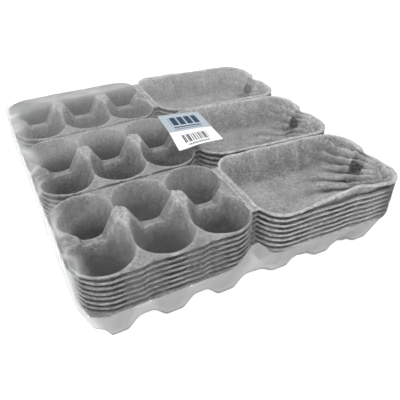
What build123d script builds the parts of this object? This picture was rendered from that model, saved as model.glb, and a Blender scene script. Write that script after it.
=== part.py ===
"""Shrink-wrapped pack of moulded-pulp egg cartons: stacks of nested cartons that lie open.

Each carton is one pulp moulding: a base with six cells and a shallow lid, joined by a living hinge.
X runs from the latch end to the lid's free end, Y runs across the stacks and Z is up.
X is zero on the living hinges, Y is zero on the middle stack and Z is zero on the floor.
"""

import math
import os

from build123d import *

# Driving dimensions, in millimetres and degrees.
STACKS = 3
CARTONS = 8
CELL_ROWS = 3
CELL_PITCH = 49.6
BASE_LENGTH = 150.0
BASE_WIDTH = 104.0
BASE_HEIGHT = 41.4
BASE_CORNER = 25.0
CELL_RIM_RADIUS = 24.4
POST_RISE = 10.9
WEB_DROP = 9.5
LID_LENGTH = 156.2
LID_DEPTH = 33.0
LID_TILT = 3.0
STACK_PITCH = 104.86
NEST_PITCH = 5.43
WALL_DRAFT = 16.0
PULP = 2.4

# The gap between base and lid, which the living hinge bridges.
HINGE_HALF_GAP = 2.2

# Worked out from the driving dimensions.
SLOPE = math.tan(math.radians(WALL_DRAFT))
WALL_DROP = NEST_PITCH * 0.755
FLOOR_DROP = 0.9 * PULP
HALF_CELL = CELL_PITCH / 2
BASE_MIDDLE = -(HINGE_HALF_GAP + BASE_LENGTH / 2)
POST_TOP = BASE_HEIGHT + POST_RISE
WEB_TOP = BASE_HEIGHT - WEB_DROP
CLEAR_ABOVE = POST_TOP + 10.0
CLEAR_BELOW = -15.0

# The living hinge: its axis stands just over the rims, midway between base and lid.
HINGE_RISE = 0.3
HINGE_HALF_SPAN = 34.0
HINGE_SLIT = 0.2
HINGE_SKIN = 1.2
HINGE_Z = BASE_HEIGHT + HINGE_RISE

# The posts' ridges, the webs between the cells, and the dip and nub at the latch end.
RIDGE_TOP_HALF = 5.0
RIDGE_FOOT_HALF = 28.5
WEB_FLOOR_HALF = 8.7
WEB_SIDE_SLOPE = math.tan(math.radians(29.0))
WEB_REACH = 12.0
DIP_DEPTH = 4.0
DIP_FLOOR_HALF = 4.0
DIP_TOP_HALF = 10.0
NUB_RISE = 3.0
NUB_FOOT_RADIUS = 3.2
NUB_TIP_RADIUS = 1.8
NUB_SETBACK = 4.2

# The lid's tray, its pleats, its latch slot and the round boss on its floor.
LID_FLANGE = 3.0
LID_CORNER = 25.0
PLEAT_RIM_HALF = 2.4
PLEAT_RIM_DEPTH = 1.0
PLEAT_HALF_GROWTH = 0.29
PLEAT_DEPTH_GROWTH = 0.12
END_PLEAT_RIM_HALF = 14.0
END_PLEAT_RIM_DEPTH = 6.5
RIM_NOTCH_HALF = 13.0
RIM_NOTCH_DEPTH = 6.0
SLOT_WIDTH = 14.0
SLOT_HEIGHT = 10.0
SLOT_BELOW_RIM = 13.0
BOSS_X = 111.0
BOSS_Y = 10.0
BOSS_RADIUS = 9.0
BOSS_RISE = 1.0

# The film and its label.
FILM = 0.4
FILM_HALF_X = 160.4
FILM_HALF_Y = 158.6
FILM_CORNER = 24.0
FILM_HEM = 1.0
FILM_OVER_POSTS = 0.9
FILM_LATCH_Z = 80.5
FILM_LID_Z = 74.2
LABEL_LENGTH = 50.0
LABEL_WIDTH = 65.0
LABEL = 0.3
LABEL_X = 5.0
LABEL_Y = -5.0
LABEL_TURN = 4.0


def spread_box(low, high):
    """Return the box that spans two opposite corners."""
    size = [b - a for a, b in zip(low, high)]
    middle = [(a + b) / 2 for a, b in zip(low, high)]
    return Pos(*middle) * Box(*size)


def rounded_block(x_low, x_high, half_width, corner, z_low, z_high):
    """Return an upright block with rounded vertical edges."""
    outline = RectangleRounded(x_high - x_low, 2 * half_width, corner)
    block = extrude(outline, z_high - z_low)
    return Pos((x_low + x_high) / 2, 0, z_low) * block


def drafted_block(x_low, x_high, half_width, corner, z_section, z_low, z_high):
    """Return a block that widens upwards at the wall draft and has the stated outline at z_section."""
    shrink = (z_section - z_low) * SLOPE
    length = x_high - x_low - 2 * shrink
    outline = RectangleRounded(length, 2 * (half_width - shrink), corner - shrink)
    block = extrude(outline, z_high - z_low, taper=-WALL_DRAFT)
    return Pos((x_low + x_high) / 2, 0, z_low) * block


def prism_along_x(points, x_low, x_high):
    """Return the prism of a Y-Z polygon that runs along X."""
    face = make_face(Polyline(*[(x_low, y, z) for y, z in points], close=True))
    return extrude(face, x_high - x_low, dir=(1, 0, 0))


def prism_along_y(points, y_low, y_high):
    """Return the prism of an X-Z polygon that runs along Y."""
    face = make_face(Polyline(*[(x, y_low, z) for x, z in points], close=True))
    return extrude(face, y_high - y_low, dir=(0, 1, 0))


def joined(pieces):
    """Fuse a list of solids into one shape."""
    total = pieces[0]
    for piece in pieces[1:]:
        total = total + piece
    return total


def row_centres():
    """List the X places of the cell rows of one base, latch end first."""
    return [BASE_MIDDLE + (row - (CELL_ROWS - 1) / 2) * CELL_PITCH for row in range(CELL_ROWS)]


def cell_centres():
    """List the cell centres of one base."""
    return [(x, side * HALF_CELL) for x in row_centres() for side in (-1, 1)]


def cell_cones(floor_z, drop):
    """Return the six conical cell spaces; drop lowers the walls' surface, which widens the cones."""
    floor_radius = CELL_RIM_RADIUS - (BASE_HEIGHT - drop - floor_z) * SLOPE
    height = CLEAR_ABOVE - floor_z
    cone = Cone(floor_radius, floor_radius + height * SLOPE, height)
    lifted = floor_z + height / 2
    return joined([Pos(x, y, lifted) * cone for x, y in cell_centres()])


def post_ridge(drop):
    """Return the hipped ridge that the two posts are cut from."""
    rise_per_mm = POST_RISE / (RIDGE_FOOT_HALF - RIDGE_TOP_HALF)
    below = WEB_DROP
    foot_half = RIDGE_FOOT_HALF + below / rise_per_mm
    foot_z = BASE_HEIGHT - below - drop
    top_z = POST_TOP - drop
    points = [(-foot_half, foot_z), (foot_half, foot_z), (RIDGE_TOP_HALF, top_z), (-RIDGE_TOP_HALF, top_z)]
    return prism_along_x(points, row_centres()[0], row_centres()[-1])


def web_notches(drop, side_drop):
    """Return the dips in the web between each row's front and back cell."""
    floor_z = WEB_TOP - drop
    side_shift = (side_drop - drop) * WEB_SIDE_SLOPE
    floor_half = WEB_FLOOR_HALF + side_shift
    top_half = floor_half + (CLEAR_ABOVE - floor_z) * WEB_SIDE_SLOPE
    profile = [(-floor_half, floor_z), (floor_half, floor_z), (top_half, CLEAR_ABOVE), (-top_half, CLEAR_ABOVE)]
    notch = prism_along_y(profile, -WEB_REACH, WEB_REACH)
    return joined([Pos(x, 0, 0) * notch for x in row_centres()])


def latch_dip(drop):
    """Return the shallow dip in the rim at the latch end."""
    rise_per_mm = DIP_DEPTH / (DIP_TOP_HALF - DIP_FLOOR_HALF)
    floor_z = BASE_HEIGHT - DIP_DEPTH - drop
    top_z = BASE_HEIGHT + DIP_DEPTH
    top_half = DIP_FLOOR_HALF + (top_z - floor_z) / rise_per_mm
    points = [(-DIP_FLOOR_HALF, floor_z), (DIP_FLOOR_HALF, floor_z), (top_half, top_z), (-top_half, top_z)]
    end_x = -(HINGE_HALF_GAP + BASE_LENGTH)
    return prism_along_x(points, end_x - WEB_REACH, end_x + HALF_CELL)


def latch_nub(drop):
    """Return the locking nub that stands in the latch end's dip."""
    foot_z = BASE_HEIGHT - DIP_DEPTH - drop
    cone = Cone(NUB_FOOT_RADIUS, NUB_TIP_RADIUS, NUB_RISE)
    return Pos(NUB_SETBACK - HINGE_HALF_GAP - BASE_LENGTH, 0, foot_z + NUB_RISE / 2) * cone


def hinge_half(side):
    """Return one half of the living hinge; side is -1 for the base and 1 for the lid."""
    edges = sorted((side * HINGE_SLIT, side * HINGE_HALF_GAP))
    low = (edges[0], -HINGE_HALF_SPAN, BASE_HEIGHT - HINGE_SKIN)
    high = (edges[1], HINGE_HALF_SPAN, BASE_HEIGHT)
    return spread_box(low, high)


def carton_base():
    """Return one base: the space under its top surface less the space under its underside."""
    latch_x = -(HINGE_HALF_GAP + BASE_LENGTH)
    outline = rounded_block(latch_x, -HINGE_HALF_GAP, BASE_WIDTH / 2, BASE_CORNER, 0, BASE_HEIGHT)
    under_top = outline + post_ridge(0)
    under_top = under_top - cell_cones(FLOOR_DROP, 0) - web_notches(0, 0) - latch_dip(0) + latch_nub(0)
    margin = BASE_CORNER
    low = (latch_x - margin, -BASE_WIDTH / 2 - margin, CLEAR_BELOW)
    high = (margin, BASE_WIDTH / 2 + margin, BASE_HEIGHT - PULP)
    under_skin = spread_box(low, high) + post_ridge(PULP)
    under_skin = under_skin - cell_cones(0, WALL_DROP) - web_notches(PULP, WALL_DROP)
    under_skin = under_skin - latch_dip(PULP) + latch_nub(PULP)
    return under_top - under_skin + hinge_half(-1)


def below_lid_rim(depth):
    """Return the space lower than a plane parallel to the open lid's rim."""
    reach = 2 * LID_LENGTH
    slab = spread_box((-reach, -reach, -reach), (reach, reach, -HINGE_RISE - depth))
    return Pos(0, 0, HINGE_Z) * Rotation(0, LID_TILT, 0) * slab


def wall_pleat(rim_half, rim_depth, z_low, z_high):
    """Return a V-shaped pleat that grows downwards and inwards from a wall along X at Y zero."""
    faces = []
    for z in (z_low, z_high):
        down = BASE_HEIGHT - z
        half = rim_half + down * PLEAT_HALF_GROWTH
        wall_y = -down * SLOPE
        tip_y = wall_y - rim_depth - down * PLEAT_DEPTH_GROWTH
        back_y = wall_y + WEB_REACH
        outline = [(-half, wall_y, z), (0, tip_y, z), (half, wall_y, z), (half, back_y, z), (-half, back_y, z)]
        faces.append(make_face(Polyline(*outline, close=True)))
    return loft(faces)


def lid_pleats(drop, wall_inset):
    """Return the pleats of both long walls and of the free end; drop lowers them."""
    side_y = BASE_WIDTH / 2 - wall_inset
    z_low = CLEAR_BELOW
    z_high = BASE_HEIGHT + DIP_DEPTH
    side_pleat = wall_pleat(PLEAT_RIM_HALF, PLEAT_RIM_DEPTH, z_low, z_high)
    pleats = []
    for row in range(1, CELL_ROWS):
        x = (row - CELL_ROWS / 2) * CELL_PITCH - BASE_MIDDLE
        pleats.append(Pos(x, side_y, -drop) * side_pleat)
        pleats.append(Pos(x, -side_y, -drop) * Rotation(0, 0, 180) * side_pleat)
    end_pleat = wall_pleat(END_PLEAT_RIM_HALF, END_PLEAT_RIM_DEPTH, z_low, z_high)
    end_x = HINGE_HALF_GAP + LID_LENGTH - wall_inset
    pleats.append(Pos(end_x, 0, -drop) * Rotation(0, 0, -90) * end_pleat)
    return joined(pleats)


def lid_boss(drop):
    """Return the low round boss on the lid's floor."""
    foot_z = -HINGE_RISE - LID_DEPTH + FLOOR_DROP - drop
    sunk = BOSS_RISE
    cone = Cone(BOSS_RADIUS + sunk, BOSS_RADIUS - BOSS_RISE, BOSS_RISE + sunk)
    placed = Pos(BOSS_X, BOSS_Y, foot_z + (BOSS_RISE - sunk) / 2) * cone
    return Pos(0, 0, HINGE_Z) * Rotation(0, LID_TILT, 0) * placed


def lid_space(inset, pleat_drop):
    """Return the lid's tray space: its drafted walls less the pleats that push into it."""
    x_low = HINGE_HALF_GAP + inset
    x_high = HINGE_HALF_GAP + LID_LENGTH - inset
    half = BASE_WIDTH / 2 - inset
    tray = drafted_block(x_low, x_high, half, LID_CORNER - inset, BASE_HEIGHT, CLEAR_BELOW, CLEAR_ABOVE)
    return tray - lid_pleats(pleat_drop, LID_FLANGE)


def rim_notch():
    """Return the notch in the lid's rim at its free end."""
    end_x = HINGE_HALF_GAP + LID_LENGTH
    outer_x = end_x + RIM_NOTCH_DEPTH
    tip_x = end_x - RIM_NOTCH_DEPTH
    outline = [(outer_x, -2 * RIM_NOTCH_HALF, CLEAR_BELOW), (outer_x, 2 * RIM_NOTCH_HALF, CLEAR_BELOW)]
    outline.append((tip_x, 0, CLEAR_BELOW))
    face = make_face(Polyline(*outline, close=True))
    return extrude(face, CLEAR_ABOVE - CLEAR_BELOW, dir=(0, 0, 1))


def latch_slot():
    """Return the cutter of the latch slot in the lid's end wall."""
    length = LID_FLANGE * WEB_REACH
    slot = extrude(Plane.YZ * SlotOverall(SLOT_WIDTH, SLOT_HEIGHT), length)
    placed = Pos(HINGE_HALF_GAP + LID_LENGTH - length, 0, -HINGE_RISE - SLOT_BELOW_RIM) * slot
    return Pos(0, 0, HINGE_Z) * Rotation(0, LID_TILT, 0) * placed


def carton_lid():
    """Return one lid as it lies open beside its base, its free end tilted down."""
    x_high = HINGE_HALF_GAP + LID_LENGTH
    outline = rounded_block(HINGE_HALF_GAP, x_high, BASE_WIDTH / 2, LID_CORNER, CLEAR_BELOW, CLEAR_ABOVE)
    under_top = (outline & below_lid_rim(0)) - (lid_space(LID_FLANGE, 0) - below_lid_rim(LID_DEPTH - FLOOR_DROP))
    under_top = under_top + lid_boss(0) - rim_notch()
    wall_inset = LID_FLANGE - WALL_DROP * SLOPE
    outer_space = lid_space(wall_inset, WALL_DROP) - below_lid_rim(LID_DEPTH)
    under_skin = below_lid_rim(PULP) - outer_space + lid_boss(FLOOR_DROP)
    skin = under_top - under_skin - latch_slot()
    strip = Pos(0, 0, HINGE_Z) * Rotation(0, LID_TILT, 0) * Pos(0, 0, -HINGE_Z) * hinge_half(1)
    return skin + strip


def film_space(inset):
    """Return the space that the film encloses, less a thickness when inset is given."""
    half_x = FILM_HALF_X - inset
    post_low = BASE_MIDDLE - HALF_CELL - RIDGE_TOP_HALF
    post_high = BASE_MIDDLE + HALF_CELL + RIDGE_TOP_HALF
    stack_rise = (CARTONS - 1) * NEST_PITCH
    crest_z = POST_TOP + stack_rise + FILM_OVER_POSTS - inset
    bottom_z = FILM_HEM - 10 * inset
    profile = [(-half_x, bottom_z), (half_x, bottom_z), (half_x, FILM_LID_Z - inset)]
    profile += [(post_high, crest_z), (post_low, crest_z), (-half_x, FILM_LATCH_Z - inset)]
    wedge = prism_along_y(profile, -FILM_HALF_Y, FILM_HALF_Y)
    corner = FILM_CORNER - inset
    post = rounded_block(-half_x, half_x, FILM_HALF_Y - inset, corner, bottom_z, crest_z + 1)
    return wedge & post


def wrap_film():
    """Return the shrink film: a thin open-bottomed cover over all the stacks."""
    return film_space(0) - film_space(FILM)


def pack_label():
    """Return the label stuck on the film where it slopes from the posts to the lids' free ends."""
    post_high = BASE_MIDDLE + HALF_CELL + RIDGE_TOP_HALF
    crest_z = POST_TOP + (CARTONS - 1) * NEST_PITCH + FILM_OVER_POSTS
    fall = (crest_z - FILM_LID_Z) / (FILM_HALF_X - post_high)
    film_z = crest_z - (LABEL_X - post_high) * fall
    plate = Pos(0, 0, LABEL / 2) * Box(LABEL_LENGTH, LABEL_WIDTH, LABEL)
    tilt = math.degrees(math.atan(fall))
    return Pos(LABEL_X, LABEL_Y, film_z) * Rotation(0, tilt, 0) * Rotation(0, 0, -LABEL_TURN) * plate


def write_part(name, shape):
    """Write one solid to the parts folder under its own name."""
    solid = shape.solids()[0]
    solid.label = name
    export_step(solid, os.path.join("parts", name + ".step"))


def main():
    os.makedirs("parts", exist_ok=True)
    base = carton_base()
    lid = carton_lid()
    for stack in range(STACKS):
        y = (stack - (STACKS - 1) / 2) * STACK_PITCH
        for level in range(CARTONS):
            place = Pos(0, y, level * NEST_PITCH)
            write_part(f"stack{stack + 1}_base_{level + 1}", place * base)
            write_part(f"stack{stack + 1}_lid_{level + 1}", place * lid)
    write_part("wrap_film", wrap_film())
    write_part("pack_label", pack_label())


main()
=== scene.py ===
"""The looks of a shrink-wrapped pack of moulded-pulp egg cartons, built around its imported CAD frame.

Every length is in metres, in the frame's own axes: X from the bases to the lids' free ends,
Y from the front stack to the back one, Z up, and X zero on the living hinges.
A pair of values is the range of a smooth step. Layers are pairs of lump size and strength.
"""

import math

import bmesh
import bpy
import numpy as np
from mathutils import Matrix, Vector


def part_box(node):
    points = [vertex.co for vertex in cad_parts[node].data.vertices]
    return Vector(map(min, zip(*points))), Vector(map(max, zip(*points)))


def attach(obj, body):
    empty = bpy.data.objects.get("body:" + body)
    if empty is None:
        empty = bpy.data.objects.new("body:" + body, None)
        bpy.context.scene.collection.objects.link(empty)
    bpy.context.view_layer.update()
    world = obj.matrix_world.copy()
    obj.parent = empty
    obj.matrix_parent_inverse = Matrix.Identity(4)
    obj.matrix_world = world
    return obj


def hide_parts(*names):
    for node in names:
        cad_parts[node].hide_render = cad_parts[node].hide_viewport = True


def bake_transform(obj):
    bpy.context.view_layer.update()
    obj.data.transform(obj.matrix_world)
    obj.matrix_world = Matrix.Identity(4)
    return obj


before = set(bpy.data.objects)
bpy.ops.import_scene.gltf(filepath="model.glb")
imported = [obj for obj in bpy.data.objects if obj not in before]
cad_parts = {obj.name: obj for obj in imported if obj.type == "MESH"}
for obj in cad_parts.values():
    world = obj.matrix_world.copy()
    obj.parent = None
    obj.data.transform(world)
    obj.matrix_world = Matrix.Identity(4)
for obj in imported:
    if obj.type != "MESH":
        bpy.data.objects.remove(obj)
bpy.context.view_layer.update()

# The pack's layout, read from the frame.
STACKS = 3
CARTONS = 8
ROWS = 3
base_low, base_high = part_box("stack2_base_1")
lid_low, lid_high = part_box("stack2_lid_1")
film_low, film_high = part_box("wrap_film")
label_low, label_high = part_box("pack_label")
NEST_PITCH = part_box("stack2_base_2")[0].z - base_low.z
STACK_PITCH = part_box("stack3_base_1")[0].y - base_low.y
HINGE_HALF_GAP = lid_low.x
BASE_WIDTH = base_high.y - base_low.y
BASE_LENGTH = -base_low.x - HINGE_HALF_GAP
BASE_CENTRE_X = -HINGE_HALF_GAP - BASE_LENGTH / 2
LID_LENGTH = lid_high.x - lid_low.x
LID_END_X = HINGE_HALF_GAP + LID_LENGTH

# A carton's heights, thicknesses and outlines.
BASE_HEIGHT = 0.0414
POST_RISE = base_high.z - BASE_HEIGHT
FLANGE = 0.0024
WALL_DROP = 0.0030
FLOOR = 0.0020
TOUCH = 0.0002
WALL_SLOPE = math.tan(math.radians(16))
BASE_CORNER = 0.025
LID_CORNER = 0.025
LID_TILT = math.tan(math.radians(3))
LID_DEPTH = 0.033
LID_FLANGE = 0.0022
RIM_NOSE = 0.0009

# The cells, ridges, webs, latch dip and nub of a base.
CELL_PITCH = 0.0496
CELL_SIDE = 0.0251
CELL_RIM_RADIUS = 0.0248
RIDGE_TOP_HALF = 0.003
RIDGE_FALL = POST_RISE / 0.0235
WEB_DROP = 0.0095
WEB_FLOOR_HALF = 0.0087
WEB_SIDE_SLOPE = math.tan(math.radians(29))
WEB_REACH = 0.011
DIP_DEPTH = 0.004
DIP_FLOOR_HALF = 0.004
DIP_RISE = 0.67
NUB_RISE = 0.0022
NUB_REACH = 0.00448
NUB_SETBACK = 0.0042
STEEP = 3.0

# The steps in a base's long rims, one where each land starts.
LAND_STEP_X = -0.0290
LAND_STEP_SHARE = 0.12
LAND_SIDE = (0.038, 0.051)
LAND_RETREAT = 0.0008
RIM_STEP = 0.0008

# The pleats, notch, slot and boss of a lid.
PLEAT_RIM_DEPTH = 0.001
PLEAT_FALL = 0.388
PLEAT_SPREAD = 0.415
END_PLEAT_RIM_DEPTH = 0.0065
NOTCH_HALF = 0.013
NOTCH_DEPTH = 0.006
NOTCH_REACH = 0.016
SLOT_HALF_WIDTH = 0.0075
SLOT_HALF_HEIGHT = 0.0057
SLOT_BELOW_RIM = 0.013
SLOT_FROM_END = 0.012
SLOT_CUT_HALF = 0.012
SLOT_POINTS = 48
SLIVER = 0.00001
BOSS_X = 0.111
BOSS_Y = 0.010
BOSS_RADIUS = 0.009
BOSS_TOP_RADIUS = 0.0072
BOSS_RISE = 0.0014

# The hinge strip and the pinch along its fold.
STRIP_HALF_WIDTH = 0.0345
STRIP_OVERLAP = 0.0016
STRIP_COLUMNS = 13
STRIP_ROWS = 70
STRIP_TOP = 0.0001
STRIP_BOTTOM = 0.0013
PINCH_HALF = 0.0009
PINCH_TOP = 0.0004
PINCH_BOTTOM = 0.0003

# How softly the pulp's faces run into each other.
LAND_BLEND = 0.0022
EDGE_BLEND = 0.0019
NOTCH_BLEND = 0.0034
CUP_BLEND = 0.0150

# Mesh steps: the uppermost cartons show inside, the others only at their sides.
TOP_STEP = 0.0007
BOTTOM_STEP = 0.0016
BURIED_STEP = 0.0024

# The pulp's roughness.
LATTICE = 64
LATTICE_SHIFT_X = 17.3
LATTICE_SHIFT_Y = 29.7
RIDGE_POWER = 0.7
WARP = ((0.011, 0.00045), (0.0035, 0.00018))
SAG = ((0.030, 0.00035), (0.006, 0.00012))
GRAIN = ((0.0021, 0.00010), (0.0041, 0.00007))
CREST_TEARS = ((0.0024, 0.0005),)
STRIP_ROUGH = ((0.0016, 0.00012), (0.007, 0.0002))
NOSE_ROUGH = ((0.0018, 0.55), (0.009, 0.3))
NOSE_FRILL = ((0.0020, 0.00030),)
NOSE_SHARES = (0.15, 0.5, 0.85)
NOSE_POWER = 0.6
NEAR_RIM = (-0.012, -0.001)
CREST = (0.003, 0.008)

# How the film has pressed the lids out of shape. FAN_STRENGTH and RIM_WAVES hold a value for each stack.
# A set of crumples is its direction along X and Y, how long it is drawn out, its size and its strength.
SHAPE_SEED = 500
INSIDE_RIM = (0.0015, 0.0045)
CRUMPLE_START = 0.040
CRUMPLE_LEAST = 0.25
CRUMPLE_PUSH = 0.0009
CRUMPLE_RISE = 0.0005
CRUMPLE_SETS = ((0.8, 0.6, 0.22, 0.011, 0.65), (0.9, -0.4, 0.30, 0.017, 0.35))
FAN_AXIS = (0.70, 0.50, -0.52)
FAN_STRENGTH = (1.0, 0.5, 0.2)
FAN_FOLDS = 46
FAN_PUSH = 0.0013
FAN_RISE = 0.0009
FAN_WANDER = ((0.03, 0.03),)
FAN_SHAKE = ((0.009, 0.008),)
FAN_UNEVEN = ((0.016, 0.25),)
FAN_MEAN = 0.75
FAN_START = (0.008, 0.020)
FAN_END = (0.068, 0.112)
RIM_WAVES = (0.0012, 0.0004, 0.0004)
RIM_WAVE_SIZE = 0.020
HUMP_X = 0.092
HUMP_HALF = 0.036
HUMP_SIDE = (0.020, 0.050)
HUMP_RISE = 0.0070

# How pale the pulp is, with painted shade in the cells, hollows and folds and between nested cartons, and
# painted highlight on the rims, ridges and crests; the flecks and speckle are random.
CELL_TONE = 0.02
LAND_TONE = 0.52
LID_TONE = 0.64
LID_RIM_TONE = 1.08
TONE_DEPTH = 0.036
HOLLOW_REACH = 0.0026
HOLLOW_DEPTH = 0.0011
BASE_EDGE_TONE = 0.24
LID_EDGE_TONE = 0.16
CREST_HIGHLIGHT = 0.25
CREST_FLECKS = ((0.0013, 0.15),)
OUTER_TONE = 0.6
NESTED_PAINTED_SHADE = 0.02
NESTED_SHADE_FADE = (0.003, 0.010)
HUMP_SHADE_LIFT = 0.85
NOSE_TONE = 1.15
NOSE_SHADE_FALL = 0.8
NOSE_SPECKLE = ((0.003, 0.20),)
CRUMPLE_LIGHT_AND_SHADE = 0.07
FAN_LIGHT_AND_SHADE = 0.56
FAN_SHADE = 0.68
SLOT_SHADE = 0.4
SLOT_FADE = (0.006, 0.011)
NESTED_END_SHADE = 0.8
NESTED_END = (LID_LENGTH - 0.030, LID_LENGTH - 0.018)
STRIP_TONE = 0.95
PINCH_SHADE = 0.4

# The film's taut top, stretched from the posts to the rims.
RIM_TOP = BASE_HEIGHT + (CARTONS - 1) * NEST_PITCH
FILM_TOP = film_high.z - 0.0003
FILM_LATCH_Z = RIM_TOP + 0.0011
FILM_LID_Z = RIM_TOP - LID_END_X * LID_TILT + 0.0022
FILM_HALF_X = film_high.x
FILM_HALF_Y = film_high.y - 0.0004
FILM_LATCH_X = base_low.x - 0.0034
FILM_CORNER = 0.024
FILM_SIDE_POINTS = 150
FILM_CORNER_POINTS = 24
FILM_SHARES = np.linspace(0.02, 0.985, 46)
POST_HALF_X = CELL_PITCH / 2 + RIDGE_TOP_HALF
POST_HALF_Y = (STACKS - 1) / 2 * STACK_PITCH + RIDGE_TOP_HALF
POST_SHARE = 1 / 3
FILM_DIP = 0.0055
FILM_DIP_X = -0.022
FILM_DIP_Y = -0.040
FILM_DIP_REACH = 0.022
WRINKLE_SEED = 71
WRINKLE_RISE = 0.0007
WRINKLE_REACH = 0.055
WRINKLES = 17
WRINKLE_WANDER = ((0.03, 2),)
WRINKLE_START = (0.004, 0.02)
DRIFT_RISE = 0.00025
DRIFT_SIZE = 0.012

# The film's sides and their hem, drawn up between the cups and under the lids.
SIDE_SHARES = np.linspace(0, 1, 34)
HEM_CLEAR = 0.0012
HEM_ARCH = 0.0125
LID_HEM_ARCH = 0.0050
HEM_LOBE = (0.006, 0.021)
HEM_POWER = 0.7
HEM_TUCK = 0.0125
TUCK_POWER = 1.15
HEM_DRAW = 0.0060
GAP_BUNCH = 0.021
GAP_HALF = 0.013
GAP_X = -0.009
CREASE_SEED = 5
CREASES = ((0.031, 0.5), (0.013, 0.35), (0.006, 0.15))
CREASE_SWAY = 0.004
CREASE_WAVES = 60
CREASE_LENGTHEN = 0.15
LATCH_SLACK = 0.0010
SIDE_SLACK = 0.0004
SLACK_RUN = 1.1
FILM_ROLL = 0.0010
ROLL_SHARE = (0, 0.05)

# How milky the film is, and how grey the milk is painted: painted shade on the curtain below the rims, a
# dark painted contact line at the hem and a light grey at the latch end; BAND_STRENGTH holds a value for
# each stack.
CLEAR_TOP_HAZE = 0.012
BAND_STRENGTH = (0.09, 0.16, 0.26)
BAND_SETBACK = 0.016
BAND_HALF = 0.019
BAND_RANGE = (-0.02, 0.03)
VEIL = 0.15
VEIL_RANGE = (-0.09, 0.14)
TOP_SEED = 81
TOP_STREAKS = 0.05
TOP_STREAK_SIZE = 0.018
TOP_STREAK_RANGE = (0.05, 0.25)
LATCH_SEED = 83
LATCH_EDGE = (0.138, 0.153)
LATCH_EDGE_HAZE = 0.12
LATCH_CREASE_HAZE = 0.45
LATCH_CREASE_SIZE = 0.014
SIDE_SEED = 91
SIDE_STREAK_SIZE = 0.006
SIDE_STREAK_SWAY = 0.003
SIDE_STREAK_WAVES = 70
SIDE_STREAK_GAIN = 0.7
CLEAR_SIDE_HAZE = 0.015
SIDE_STREAKS = 0.03
LATCH_FACING = (0.62, 1.0)
LATCH_HAZE = 0.42
LATCH_STREAKS = 0.42
BELOW_RIM = (0.0004, 0.0020)
CURTAIN_HAZE = 0.84
CURTAIN_STREAKS = 0.08
SHADE_FACING = (0.3, 0.9)
CURTAIN_SHADE = 0.5
LATCH_SHADE = 0.14
LATCH_SHADE_CUT = 0.6
HEM_EDGE_SHADE = 0.5
HEM_EDGE = (0.93, 1)

# The label.
LABEL_LENGTH = 0.046
LABEL_WIDTH = 0.065
LABEL_TURN = math.radians(-4)
LABEL_LIFT = 0.0004
LABEL_PAPER = 0.0002
LABEL_COLUMNS = 101
LABEL_ROWS = 66
LABEL_SEED = 33
LABEL_WAVES = ((0.02, 0.0004),)
LABEL_SPLIT = 0.43

# The studio and the camera.
FLOOR_GLOW = 0.70
FLOOR_HALF = 6
PACK_MIDDLE = (0, 0, 0.05)
CAMERA_PLACE = (-0.1745, -0.3800, 0.3160)
CAMERA_YAW = 27.19
CAMERA_PITCH = 37.67
CAMERA_ROLL = 0.35
CAMERA_LENS = 41.4
CAMERA_SENSOR = 36
CAMERA_NEAR = 0.01


# ---- shapes as height fields


def smooth_low(a, b, blend):
    """The lower of two heights, rounded where they cross."""
    share = np.clip(0.5 + 0.5 * (b - a) / blend, 0, 1)
    return b * (1 - share) + a * share - blend * share * (1 - share)


def smooth_high(a, b, blend):
    """The higher of two heights, rounded where they cross."""
    return -smooth_low(-a, -b, blend)


def eased(share):
    """A share from 0 to 1 that starts and stops gently."""
    return share * share * (3 - 2 * share)


def smooth_step(value, low, high):
    """0 below low, 1 above high and a smooth rise between."""
    return eased(np.clip((value - low) / (high - low), 0, 1))


def lumps(x, y, size, seed):
    """Smooth random lumps from -1 to 1, about size across."""
    lattice = np.random.default_rng(seed).uniform(-1, 1, (LATTICE, LATTICE))
    u = x / size + LATTICE_SHIFT_X
    v = y / size + LATTICE_SHIFT_Y
    column = np.floor(u).astype(int)
    row = np.floor(v).astype(int)
    across = eased(u - column)
    along = eased(v - row)
    left = column % LATTICE
    right = (column + 1) % LATTICE
    low = row % LATTICE
    high = (row + 1) % LATTICE
    near = lattice[low, left] * (1 - across) + lattice[low, right] * across
    far = lattice[high, left] * (1 - across) + lattice[high, right] * across
    return near * (1 - along) + far * along


def layered(x, y, layers, seed):
    """The sum of layers of lumps, each with the next seed."""
    total = np.zeros_like(x)
    for number, (size, strength) in enumerate(layers):
        total = total + strength * lumps(x, y, size, seed + number)
    return total


def ridged(x, y, size, seed):
    """Sharp-crested random folds from -1 to 1, about size apart."""
    return 1 - 2 * np.abs(lumps(x, y, size, seed)) ** RIDGE_POWER


def surrounding(height, reach):
    """Mean height of the grid points up to reach steps away along both axes."""
    padded = np.pad(height, reach, mode="edge")
    rows, columns = height.shape
    total = np.zeros_like(height)
    for row in range(2 * reach + 1):
        for column in range(2 * reach + 1):
            total = total + padded[row : row + rows, column : column + columns]
    return total / (2 * reach + 1) ** 2


def painted_light_and_shade(height, rim_height, step, lowest, highest, edge_gain):
    """Painted light and shade on the pulp: painted shade low down and in hollows, painted highlight at the
    rim and along ridges.
    """
    depth = smooth_step(height, rim_height - TONE_DEPTH, rim_height)
    proud = height - surrounding(height, max(int(round(HOLLOW_REACH / step)), 1))
    return lowest + (highest - lowest) * depth + edge_gain * np.clip(proud / HOLLOW_DEPTH, -0.5, 1)


def outer_tone_with_nest_shade(height, level):
    """How pale the outer face is: painted shade where cartons nest, so it is pale only near the rim of the
    uppermost one.
    """
    if level == 1:
        return np.full_like(height, OUTER_TONE)
    if level < CARTONS:
        return np.full_like(height, NESTED_PAINTED_SHADE)
    return NESTED_PAINTED_SHADE + (OUTER_TONE - NESTED_PAINTED_SHADE) * smooth_step(-height, *NESTED_SHADE_FADE)


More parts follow.
